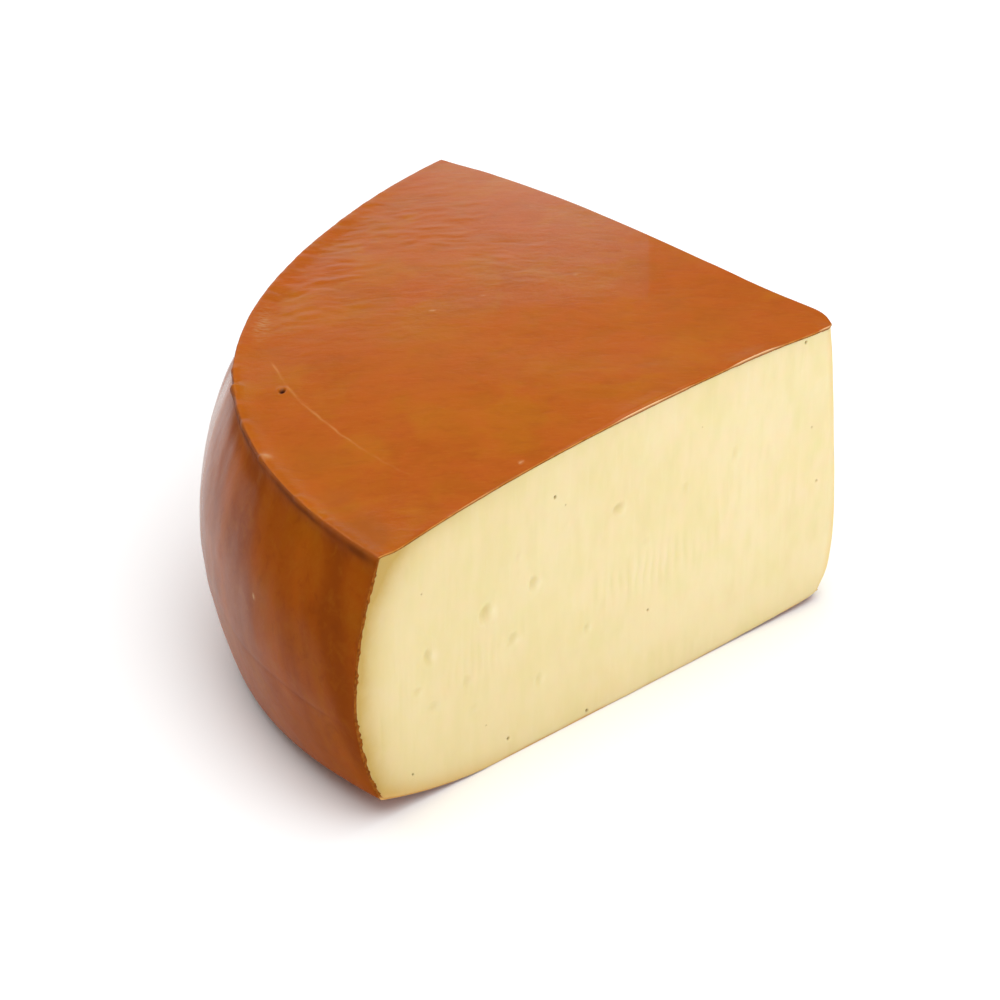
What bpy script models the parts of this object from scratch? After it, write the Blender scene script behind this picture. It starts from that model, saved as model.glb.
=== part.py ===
"""A quarter of a semi-hard cheese wheel, cut to the axis, in its own frame.

Two pieces: the cheese itself, and the thin orange-brown coating that covers its
top, its side and its underside and is open on both cut faces.

Frame: metres, +Z up, resting on z = 0, origin under the middle of the bounding box.
The rind side faces -X, the pointed end +X.
"""

import math

import bmesh
import bpy

# ---------------------------------------------------------------- driving dimensions
LIP_RADIUS = 0.1500        # wheel axis to the top rim
CENTRE_HEIGHT = 0.0839     # height at the wheel's axis
LIP_HEIGHT = 0.0757        # height of the top rim at the cuts
CROWN_POWER = 3.2          # how late the top falls towards the rim
LIP_CROWN = 0.0020         # extra rim height midway between the cuts
LIP_RIDGE = 0.0013         # raised bead along the rim
LIP_OVERHANG = 0.0022      # how far the rim's bead stands out over the side
LIP_BEAD = 0.0028          # how far down the side the bead reaches
CUT_ANGLE = 89.0           # degrees between the two cut faces
OVALNESS = 0.0034          # the rim is a little fuller near one cut than the other
RADIUS_TAPER = -0.0007     # rim radius lost from the front cut to the back cut
RIM_WAVE = -0.0006         # a weaker, shorter unevenness of the rim

BULGE = 0.0082             # how far the side stands out past the rim
BULGE_MIDWAY = 0.0019      # more of it midway between the cuts
BULGE_POWER = 2.2
WIDEST_HEIGHT = 0.0348     # height of the widest line
FOOT_INSET = 0.0077        # from the widest line in to the bottom corner
FOOT_POWER = 1.4
FOOT_RISE = 0.0064         # the underside lifts this far at the rim, by the cuts
FOOT_SETTLE = 0.0056       # and this much less of it midway between them
FOOT_FLAT_TO = 0.1120      # the underside is flat out to this radius
POINT_LIFT = 0.0023        # the underside lifts this far under the point
POINT_FLAT_FROM = 0.0525   # and is flat from this radius

POINT_BOW = 0.0058         # the pointed edge bows out, lowest third most
POINT_BOW_POWER = 0.625
POINT_BOW_REACH = 0.045

COAT = 0.0008              # thickness of the coating
GAP = 0.0003               # between the coating and the cheese

SECTORS = 28               # steps around
RINGS = 12                 # steps from the axis to the rim
TIERS = 14                 # steps down the side

CHEESE_COLOUR = (0.86, 0.74, 0.45, 1.0)
COAT_COLOUR = (0.46, 0.125, 0.02, 1.0)


# ---------------------------------------------------------------- the wheel's section
def bump(around):
    return math.sin(math.pi * around)


def rim(around):
    """Radius and height of the rim, around = 0 at the front cut and 1 at the back."""
    radius = LIP_RADIUS + RADIUS_TAPER * around + OVALNESS * math.sin(2 * math.pi * around)
    radius += RIM_WAVE * math.sin(3 * math.pi * around)
    return radius, LIP_HEIGHT + LIP_CROWN * bump(around)


def underside(radius, around):
    rise = FOOT_RISE - FOOT_SETTLE * bump(around)
    foot = min(max((radius - FOOT_FLAT_TO) / (LIP_RADIUS - FOOT_FLAT_TO), 0.0), 1.05)
    point = max(1.0 - radius / POINT_FLAT_FROM, 0.0)
    return rise * foot**2 + POINT_LIFT * point**2


def ring_share(i):
    """Share of the radius at ring i; the rings are closer together near the rim."""
    return 1.0 - (1.0 - i / RINGS) ** 1.5


def section(around):
    """The outline of the coating as (radius, height), from the top of the axis over
    the rim, down the side and back under to the axis."""
    lip_r, lip_z = rim(around)
    wide_r = lip_r + BULGE + BULGE_MIDWAY * bump(around)
    line = []
    for i in range(RINGS + 1):
        share = ring_share(i)
        fall = (CENTRE_HEIGHT - lip_z + LIP_RIDGE) * share**CROWN_POWER
        bead = LIP_RIDGE * math.exp(-(((1.0 - share) / 0.03) ** 2))
        line.append((lip_r * share, CENTRE_HEIGHT - fall + bead))
    half = TIERS // 2
    for j in range(1, half + 1):
        z = lip_z + (WIDEST_HEIGHT - lip_z) * (j / half) ** 1.2
        up = (z - WIDEST_HEIGHT) / (lip_z - WIDEST_HEIGHT)
        neck = lip_r - LIP_OVERHANG
        r = neck + (wide_r - neck) * (1.0 - up**BULGE_POWER)
        r += LIP_OVERHANG * math.exp(-(((lip_z - z) / LIP_BEAD) ** 2))
        line.append((r, z))
    for j in range(1, TIERS - half + 1):
        turn = 0.5 * math.pi * j / (TIERS - half)
        r = wide_r - FOOT_INSET * (1.0 - max(math.cos(turn), 0.0) ** (2.0 / FOOT_POWER))
        z = WIDEST_HEIGHT * (1.0 - math.sin(turn) ** (2.0 / FOOT_POWER))
        fade = 1.0 - min(z / WIDEST_HEIGHT, 1.0)
        line.append((r, z + fade * underside(r, around)))
    foot_r = line[-1][0]
    for i in range(RINGS - 1, -1, -1):
        r = foot_r * ring_share(i)
        line.append((r, underside(r, around)))
    return line


def inset(line, depth):
    """The outline moved inwards by depth, with mitred corners."""
    moved = []
    last = len(line) - 1
    for i, (r, z) in enumerate(line):
        if i == 0:
            moved.append((0.0, z - depth))
            continue
        if i == last:
            moved.append((0.0, z + depth))
            continue
        ar, az = r - line[i - 1][0], z - line[i - 1][1]
        br, bz = line[i + 1][0] - r, line[i + 1][1] - z
        al, bl = math.hypot(ar, az), math.hypot(br, bz)
        n1 = (az / al, -ar / al)
        n2 = (bz / bl, -br / bl)
        nr, nz = n1[0] + n2[0], n1[1] + n2[1]
        nl = math.hypot(nr, nz)
        nr, nz = nr / nl, nz / nl
        mitre = depth / max(nr * n1[0] + nz * n1[1], 0.5)
        moved.append((r + nr * mitre, z + nz * mitre))
    return moved


def place(r, z, around):
    """Section point to space: around the axis, then the bow of the pointed edge."""
    half = math.radians(CUT_ANGLE) / 2.0
    angle = math.pi + half - 2.0 * half * around
    x, y = r * math.cos(angle), r * math.sin(angle)
    up = min(max(z / CENTRE_HEIGHT, 0.0), 1.0)
    bow = POINT_BOW * math.sin(math.pi * up**POINT_BOW_POWER)
    bow *= (1.0 - math.exp(-((up / 0.06) ** 2))) * math.exp(-((r / POINT_BOW_REACH) ** 2))
    x -= bow * math.cos(math.pi + half)
    y -= bow * math.sin(math.pi + half)
    return x, y, z


# ---------------------------------------------------------------- meshes
def sheet(bm, depth):
    """Vertices of the outline at that depth for every sector; the axis is shared."""
    rows = []
    first = None
    for k in range(SECTORS + 1):
        around = k / SECTORS
        line = inset(section(around), depth) if depth > 0.0 else section(around)
        row = []
        for i, (r, z) in enumerate(line):
            if first is not None and i in (0, len(line) - 1):
                row.append(first[i])
            else:
                row.append(bm.verts.new(place(r, z, around)))
        first = first or row
        rows.append(row)
    return rows


def skin(bm, rows, outwards=True):
    """Faces over a sheet: top, side and underside."""
    last = len(rows[0]) - 1
    for k in range(len(rows) - 1):
        for i in range(last):
            ring = [rows[k][i], rows[k][i + 1], rows[k + 1][i + 1], rows[k + 1][i]]
            ring = [v for n, v in enumerate(ring) if v not in ring[:n]]
            bm.faces.new(ring if not outwards else ring[::-1])


def cut_face(bm, row, edge, front):
    """Fills a cut face with a Coons patch between the top, the side, the underside and
    the pointed edge, whose vertices both cut faces share."""
    grid = {}
    for i in range(RINGS + 1):
        grid[i, 0], grid[i, TIERS] = row[i], row[-1 - i]
    for j in range(TIERS + 1):
        grid[0, j], grid[RINGS, j] = edge[j], row[RINGS + j]
    corner = {at: grid[at].co for at in ((0, 0), (RINGS, 0), (0, TIERS), (RINGS, TIERS))}
    for i in range(1, RINGS):
        for j in range(1, TIERS):
            u, v = ring_share(i), j / TIERS
            across = grid[0, j].co * (1 - u) + grid[RINGS, j].co * u
            down = grid[i, 0].co * (1 - v) + grid[i, TIERS].co * v
            shared = (corner[0, 0] * (1 - u) + corner[RINGS, 0] * u) * (1 - v)
            shared += (corner[0, TIERS] * (1 - u) + corner[RINGS, TIERS] * u) * v
            grid[i, j] = bm.verts.new(across + down - shared)
    for i in range(RINGS):
        for j in range(TIERS):
            ring = [grid[i, j], grid[i, j + 1], grid[i + 1, j + 1], grid[i + 1, j]]
            bm.faces.new(ring if front else ring[::-1])


def finish(bm, name, colour, roughness, parent):
    bmesh.ops.recalc_face_normals(bm, faces=bm.faces)
    mesh = bpy.data.meshes.new(name)
    bm.to_mesh(mesh)
    bm.free()
    mesh.shade_smooth()
    mesh.set_sharp_from_angle(angle=math.radians(40))
    material = bpy.data.materials.new(name)
    material.use_nodes = True
    shader = material.node_tree.nodes["Principled BSDF"]
    shader.inputs["Base Color"].default_value = colour
    shader.inputs["Roughness"].default_value = roughness
    shader.inputs["Metallic"].default_value = 0.0
    mesh.materials.append(material)
    thing = bpy.data.objects.new(name, mesh)
    bpy.context.scene.collection.objects.link(thing)
    thing.parent = parent
    return thing


def make_cheese(parent):
    bm = bmesh.new()
    rows = sheet(bm, COAT + GAP)
    skin(bm, rows)
    top, foot = rows[0][0], rows[0][-1]
    edge = [top]
    for j in range(1, TIERS):
        z = top.co.z + (foot.co.z - top.co.z) * j / TIERS
        edge.append(bm.verts.new(place(0.0, z, 0.0)))
    edge.append(foot)
    cut_face(bm, rows[0], edge, front=True)
    cut_face(bm, rows[-1], edge, front=False)
    return finish(bm, "cheese_body", CHEESE_COLOUR, 0.45, parent)


def make_coat(parent):
    bm = bmesh.new()
    outer, inner = sheet(bm, 0.0), sheet(bm, COAT)
    skin(bm, outer)
    skin(bm, inner, outwards=False)
    for k in (0, -1):
        a, b = outer[k], inner[k]
        for i in range(len(a) - 1):
            bm.faces.new((a[i], a[i + 1], b[i + 1], b[i]))
    return finish(bm, "rind_coat", COAT_COLOUR, 0.38, parent)


def main():
    for thing in list(bpy.data.objects):
        bpy.data.objects.remove(thing, do_unlink=True)
    wheel = bpy.data.objects.new("wheel_axis", None)
    bpy.context.scene.collection.objects.link(wheel)
    pieces = [make_cheese(wheel), make_coat(wheel)]
    # the origin goes under the middle of the bounding box
    corners = [v.co for piece in pieces for v in piece.data.vertices]
    low = [min(c[i] for c in corners) for i in range(3)]
    high = [max(c[i] for c in corners) for i in range(3)]
    wheel.location = (-(low[0] + high[0]) / 2.0, -(low[1] + high[1]) / 2.0, -low[2])
    bpy.context.view_layer.update()
    print("wheel axis at", tuple(round(c, 6) for c in wheel.location))
    print("size", tuple(round(high[i] - low[i], 5) for i in range(3)))


main()
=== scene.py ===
"""Looks for the cheese wedge: a fine mesh for the cheese, a fine mesh for its coating,
their materials, a pale floor, soft studio light and the camera."""

import math

import bmesh
import bpy
import numpy as np
from mathutils import Matrix, Vector


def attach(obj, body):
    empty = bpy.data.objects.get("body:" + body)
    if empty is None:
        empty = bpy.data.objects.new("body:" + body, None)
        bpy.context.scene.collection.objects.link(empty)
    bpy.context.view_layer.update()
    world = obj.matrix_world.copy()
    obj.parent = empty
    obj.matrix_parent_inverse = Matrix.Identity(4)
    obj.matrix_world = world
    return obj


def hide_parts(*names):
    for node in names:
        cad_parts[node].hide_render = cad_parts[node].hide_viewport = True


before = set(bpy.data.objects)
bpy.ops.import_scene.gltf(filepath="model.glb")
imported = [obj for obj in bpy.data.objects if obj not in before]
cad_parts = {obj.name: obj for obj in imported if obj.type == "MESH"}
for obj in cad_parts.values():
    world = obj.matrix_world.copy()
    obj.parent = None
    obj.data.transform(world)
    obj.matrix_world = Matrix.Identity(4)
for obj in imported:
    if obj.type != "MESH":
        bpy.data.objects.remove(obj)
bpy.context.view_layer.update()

MM = 0.001
PI = math.pi

# ------------------------------------------------------------ the wedge's own shape
AXIS = np.array([0.078354, 0.000245, 0.0])  # the wheel's axis in the row frame
LIP_RADIUS = 0.1500
CENTRE_HEIGHT = 0.0839
LIP_HEIGHT = 0.0757
CROWN_POWER = 3.2
LIP_CROWN = 0.0020
LIP_RIDGE = 0.0013
LIP_OVERHANG = 0.0022
LIP_BEAD = 0.0026
HALF = math.radians(89.0) / 2.0
OVALNESS = 0.0034
RADIUS_TAPER = -0.0007
RIM_WAVE = -0.0006
BULGE = 0.0082
BULGE_MIDWAY = 0.0019
BULGE_POWER = 2.2
WIDEST_HEIGHT = 0.0348
FOOT_INSET = 0.0077
FOOT_POWER = 1.4
FOOT_RISE = 0.0064
FOOT_SETTLE = 0.0056
FOOT_FLAT_TO = 0.1120
POINT_LIFT = 0.0023
POINT_FLAT_FROM = 0.0525
POINT_BOW = 0.0064
POINT_BOW_POWER = 0.625
TIP_DROOP = 0.0008
BLUNT = 0.0017

FRONT_OUT = np.array([-math.sin(PI + HALF), math.cos(PI + HALF), 0.0]) * 1.0
BACK_OUT = np.array([math.sin(PI - HALF), -math.cos(PI - HALF), 0.0]) * 1.0
FRONT_ALONG = np.array([math.cos(PI + HALF), math.sin(PI + HALF), 0.0])
BACK_ALONG = np.array([math.cos(PI - HALF), math.sin(PI - HALF), 0.0])


def ease(a, b, x):
    t = np.clip((x - a) / (b - a), 0, 1)
    return t * t * (3 - 2 * t)


def rim(u):
    radius = LIP_RADIUS + RADIUS_TAPER * u + OVALNESS * np.sin(2 * PI * u)
    radius = radius + RIM_WAVE * np.sin(3 * PI * u)
    return radius, LIP_HEIGHT + LIP_CROWN * np.sin(PI * u)


def top_z(share, u):
    lip_r, lip_z = rim(u)
    ridge = LIP_RIDGE * (1 - 0.85 * ease(0.72, 0.97, u))
    z = CENTRE_HEIGHT - (CENTRE_HEIGHT - lip_z + ridge) * share**CROWN_POWER
    z = z + ridge * np.exp(-(((1 - share) / 0.026) ** 2))
    return z - TIP_DROOP * np.exp(-((share * lip_r / 0.0032) ** 2))


def underside(r, u):
    rise = FOOT_RISE - FOOT_SETTLE * np.sin(PI * u)
    foot = np.clip((r - FOOT_FLAT_TO) / (LIP_RADIUS - FOOT_FLAT_TO), 0.0, 1.05)
    point = np.maximum(1.0 - r / POINT_FLAT_FROM, 0.0)
    return rise * foot**2 + POINT_LIFT * point**2


def side(s, u):
    """s = 0 at the rim, 0.5 at the widest line, 1 at the bottom corner."""
    lip_r, lip_z = rim(u)
    wide_r = lip_r + BULGE + BULGE_MIDWAY * np.sin(PI * u)
    za = lip_z + (WIDEST_HEIGHT - lip_z) * np.clip(2 * s, 0, 1) ** 1.2
    up = np.clip((za - WIDEST_HEIGHT) / (lip_z - WIDEST_HEIGHT), 0, 1)
    over = LIP_OVERHANG * (1 - 0.8 * np.exp(-((u / 0.055) ** 2)))
    neck = lip_r - over
    ra = neck + (wide_r - neck) * (1 - up**BULGE_POWER)
    ra = ra + over * np.exp(-(((lip_z - za) / LIP_BEAD) ** 2))
    t = 0.5 * PI * np.clip(2 * s - 1, 0, 1)
    rb = wide_r - FOOT_INSET * (1 - np.maximum(np.cos(t), 0) ** (2 / FOOT_POWER))
    zb = WIDEST_HEIGHT * (1 - np.sin(t) ** (2 / FOOT_POWER))
    zb = zb + (1 - np.minimum(zb / WIDEST_HEIGHT, 1)) * underside(rb, u)
    low = s > 0.5
    return np.where(low, rb, ra), np.where(low, zb, za)


def section(u, tops, sides, foots):
    """Outline rows by columns: (radius, height) over the top, down and back under."""
    u = np.atleast_1d(u)[None, :]
    lip_r, _ = rim(u)
    share = tops[:, None] + 0 * u
    r1, z1 = share * lip_r, top_z(share, u)
    r2, z2 = side(sides[1:, None] + 0 * u, u + 0 * sides[1:, None])
    foot_r = r2[-1:]
    r3 = foots[1:, None] * foot_r
    z3 = underside(r3, u)
    return np.concatenate([r1, r2, r3]), np.concatenate([z1, z2, z3])


def inset(r, z, depth):
    """Moves an outline inwards; depth may differ from row to row."""
    depth = np.broadcast_to(np.asarray(depth, float), r.shape)
    pr, pz = np.diff(r, axis=0), np.diff(z, axis=0)
    length = np.maximum(np.hypot(pr, pz), 1e-9)
    nr, nz = pz / length, -pr / length
    ar = np.concatenate([nr[:1] * 0, nr[1:] + nr[:-1], nr[:1] * 0])
    az = np.concatenate([nz[:1] * 0 - 1, nz[1:] + nz[:-1], nz[:1] * 0 + 1])
    size = np.hypot(ar, az)
    ar, az = ar / size, az / size
    first = np.concatenate([nr[:1] * 0, nr[:-1], nr[:1] * 0])
    second = np.concatenate([nz[:1] * 0 - 1, nz[:-1], nz[:1] * 0 + 1])
    lean = np.maximum(ar * first + az * second, 0.55)
    return r + ar * depth / lean, z + az * depth / lean


def tuck(r, z, r0, z0, lip, foot, top_depth, side_depth, foot_depth):
    """Keeps an inset outline inside both faces at the rim and at the bottom corner."""
    k = np.arange(len(r))[:, None]
    tiny = 0.000012
    lip_r, lip_z = r0[lip] - side_depth, z0[lip] - top_depth
    foot_r, foot_z = r0[foot] - side_depth, z0[foot] + foot_depth
    r = np.where(k <= lip, np.minimum(r, lip_r - tiny * (lip - k)), r)
    z = np.where((k >= lip) & (k < foot), np.minimum(z, lip_z - tiny * (k - lip)), z)
    r = np.where(k == lip, lip_r, r)
    z = np.where((k > lip) & (k <= foot), np.maximum(z, foot_z + tiny * (foot - k)), z)
    r = np.where(k >= foot, np.minimum(r, foot_r - tiny * (k - foot)), r)
    z = np.where(k == foot, foot_z, z)
    return r, z


def place(r, z, u):
    angle = PI + HALF - 2.0 * HALF * u
    x, y = r * np.cos(angle), r * np.sin(angle)
    up = np.clip(z / CENTRE_HEIGHT, 0, 1)
    bow = POINT_BOW * np.sin(PI * up**POINT_BOW_POWER) * (1 - np.exp(-((up / 0.06) ** 2)))
    bow = bow * np.clip(1 - r / LIP_RADIUS, 0, 1)
    x = x - bow * FRONT_ALONG[0]
    y = y - bow * FRONT_ALONG[1]
    # the point is blunt: both cuts swell just before they meet
    q = r / 0.0062
    blunt = BLUNT * q * np.exp(1 - q) * (0.45 + 0.55 * up**2)
    x = x + blunt * ((1 - u) ** 2 * FRONT_OUT[0] + u**2 * BACK_OUT[0])
    y = y + blunt * ((1 - u) ** 2 * FRONT_OUT[1] + u**2 * BACK_OUT[1])
    return np.stack([x + AXIS[0], y + AXIS[1], z + 0 * x], -1)


def bow_at(r, z):
    up = np.clip(z / CENTRE_HEIGHT, 0, 1)
    bow = POINT_BOW * np.sin(PI * up**POINT_BOW_POWER) * (1 - np.exp(-((up / 0.06) ** 2)))
    return bow * np.clip(1 - r / LIP_RADIUS, 0, 1)


def blunt_at(r, z):
    q = np.maximum(r, 0) / 0.0062
    return BLUNT * q * np.exp(1 - q) * (0.45 + 0.55 * np.clip(z / CENTRE_HEIGHT, 0, 1) ** 2)


def from_cut(v, front):
    """How far points are from a cut's own surface, and their reach from the axis."""
    z = v[:, 2]
    if front:
        reach = v @ FRONT_ALONG
        r = reach + bow_at(reach, z)
        r = reach + bow_at(r, z)
        return v @ FRONT_OUT - blunt_at(r, z), reach
    reach = v @ BACK_ALONG
    return v @ BACK_OUT - bow_at(reach, z) - blunt_at(reach, z), reach


# ------------------------------------------------------------ smooth noise, no randomness
def lattice(i, j, k, seed):
    h = i * 374761393 + j * 668265263 + k * 1442695041 + seed * 1013904223
    h = (h ^ (h >> 13)) & 0x7FFFFFFF
    h = (h * 1274126177) & 0x7FFFFFFFFFFF
    h = (h ^ (h >> 16)) & 0xFFFFFF
    return h / 8388607.5 - 1.0


def noise(p, scale, seed=0):
    """Value noise between -1 and 1 at points p (n, 3); scale is a length or three."""
    q = p / np.asarray(scale, float)
    base = np.floor(q).astype(np.int64)
    f = q - base
    w = f * f * f * (f * (f * 6 - 15) + 10)
    total = 0.0
    for a in (0, 1):
        for b in (0, 1):
            for c in (0, 1):
                weight = (w[:, 0] if a else 1 - w[:, 0]) * (w[:, 1] if b else 1 - w[:, 1])
                weight = weight * (w[:, 2] if c else 1 - w[:, 2])
                total = total + weight * lattice(base[:, 0] + a, base[:, 1] + b, base[:, 2] + c, seed)
    return total


def fractal(p, scale, seed=0, octaves=3):
    total, size = 0.0, 1.0
    scale = np.asarray(scale, float)
    for o in range(octaves):
        total = total + size * noise(p, scale / 2**o, seed + 17 * o)
        size *= 0.5
    return total


def to_path(p, path):
    """Distance from 2-D points to a polyline, and how far along it (0..1)."""
    best = np.full(len(p), 1e9)
    along = np.zeros(len(p))
    path = np.asarray(path, float)
    n = len(path) - 1
    for i in range(n):
        a, ab = path[i], path[i + 1] - path[i]
        t = np.clip(((p - a) @ ab) / max(ab @ ab, 1e-12), 0, 1)
        d = np.hypot(*(p - (a + t[:, None] * ab)).T)
        near = d < best
        best[near], along[near] = d[near], (i + t[near]) / n
    return best, along


def curve_through(points, steps=12):
    """Catmull-Rom through a few 2-D points."""
    pts = np.asarray(points, float)
    pts = np.vstack([2 * pts[0] - pts[1], pts, 2 * pts[-1] - pts[-2]])
    out = []
    for i in range(1, len(pts) - 2):
        for t in np.linspace(0, 1, steps, endpoint=False):
            a, b, c, d = pts[i - 1 : i + 3]
            out.append(
                0.5 * (2 * b + (c - a) * t + (2 * a - 5 * b + 4 * c - d) * t**2 + (3 * b - a - 3 * c + d) * t**3)
            )
    out.append(pts[-2])
    return np.array(out)


# ------------------------------------------------------------ mesh helpers
class Builder:
    """Collects vertices and faces as rows of indices."""

    def __init__(self):
        self.points, self.faces, self.slots, self.count = [], [], [], 0

    def add(self, points):
        points = np.atleast_2d(points)
        self.points.append(points)
        start = self.count
        self.count += len(points)
        return list(range(start, self.count))

    def face(self, ring, flip, slot=0):
        ring = [v for n, v in enumerate(ring) if v not in ring[:n]]
        if len(ring) > 2:
            self.faces.append(ring if flip else ring[::-1])
            self.slots.append(slot)

    def strip(self, a, b, flip=False, slot=0):
        """Faces between two rows; a row may have one vertex, as many, half or twice."""
        if len(a) > len(b):
            a, b, flip = b, a, not flip
        if len(a) == len(b):
            for k in range(len(a) - 1):
                self.face([a[k], b[k], b[k + 1], a[k + 1]], flip, slot)
        elif len(a) == 1:
            for k in range(len(b) - 1):
                self.face([a[0], b[k], b[k + 1]], flip, slot)
        else:
            assert len(b) - 1 == 2 * (len(a) - 1), (len(a), len(b))
            for k in range(len(a) - 1):
                self.face([a[k], b[2 * k], b[2 * k + 1]], flip, slot)
                self.face([a[k], b[2 * k + 1], a[k + 1]], flip, slot)
                self.face([a[k + 1], b[2 * k + 1], b[2 * k + 2]], flip, slot)

    def object(self, name):
        mesh = bpy.data.meshes.new(name)
        mesh.from_pydata(np.concatenate(self.points).tolist(), [], self.faces)
        mesh.polygons.foreach_set("material_index", np.array(self.slots, np.int32))
        mesh.update()
        thing = bpy.data.objects.new(name, mesh)
        bpy.context.scene.collection.objects.link(thing)
        return thing


def coordinates(mesh):
    found = np.empty(len(mesh.vertices) * 3, np.float32)
    mesh.vertices.foreach_get("co", found)
    return found.reshape(-1, 3).astype(float)


def normals(mesh):
    found = np.empty(len(mesh.vertices) * 3, np.float32)
    mesh.vertex_normals.foreach_get("vector", found)
    return found.reshape(-1, 3).astype(float)


def store(mesh, name, values):
    layer = mesh.attributes.get(name) or mesh.attributes.new(name, "FLOAT", "POINT")
    layer.data.foreach_set("value", np.asarray(values, np.float32))


def fetch(mesh, name):
    found = np.empty(len(mesh.vertices), np.float32)
    mesh.attributes[name].data.foreach_get("value", found)
    return found.astype(float)


def refine(mesh, inside, cuts):
    """Subdivides the quads whose corners all satisfy inside(coordinates)."""
    keep = inside(coordinates(mesh))
    bm = bmesh.new()
    bm.from_mesh(mesh)
    bm.verts.ensure_lookup_table()
    chosen = [f for f in bm.faces if len(f.verts) == 4 and all(keep[v.index] for v in f.verts)]
    edges = list({e for f in chosen for e in f.edges})
    bmesh.ops.subdivide_edges(bm, edges=edges, cuts=cuts, use_grid_fill=True)
    bm.to_mesh(mesh)
    bm.free()


def polar(p):
    v = p - AXIS
    r = np.hypot(v[:, 0], v[:, 1])
    angle = np.mod(np.arctan2(v[:, 1], v[:, 0]), 2 * PI)
    return r, np.clip((PI + HALF - angle) / (2 * HALF), 0, 1)


# ------------------------------------------------------------ the coating
# (radius from the axis, reach along the cut, lift) of the places where the cut edge of
# the coating has come away from the front cut, in mm
LIFTS = ((66.0, 8.5, 0.30), (53.0, 4.5, 0.13), (27.5, 7.5, 0.34), (3.5, 2.5, 0.20), (121.0, 5.0, 0.08))
BACK_LIFTS = ((38.0, 6.0, 0.10), (96.0, 9.0, 0.08), (131.0, 4.0, 0.08))


def lift_of(r, lifts):
    total = 0 * r
    for at, reach, height in lifts:
        total = total + height * MM * np.exp(-(np.abs(r / MM - at) / reach) ** 4)
    return total


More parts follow.
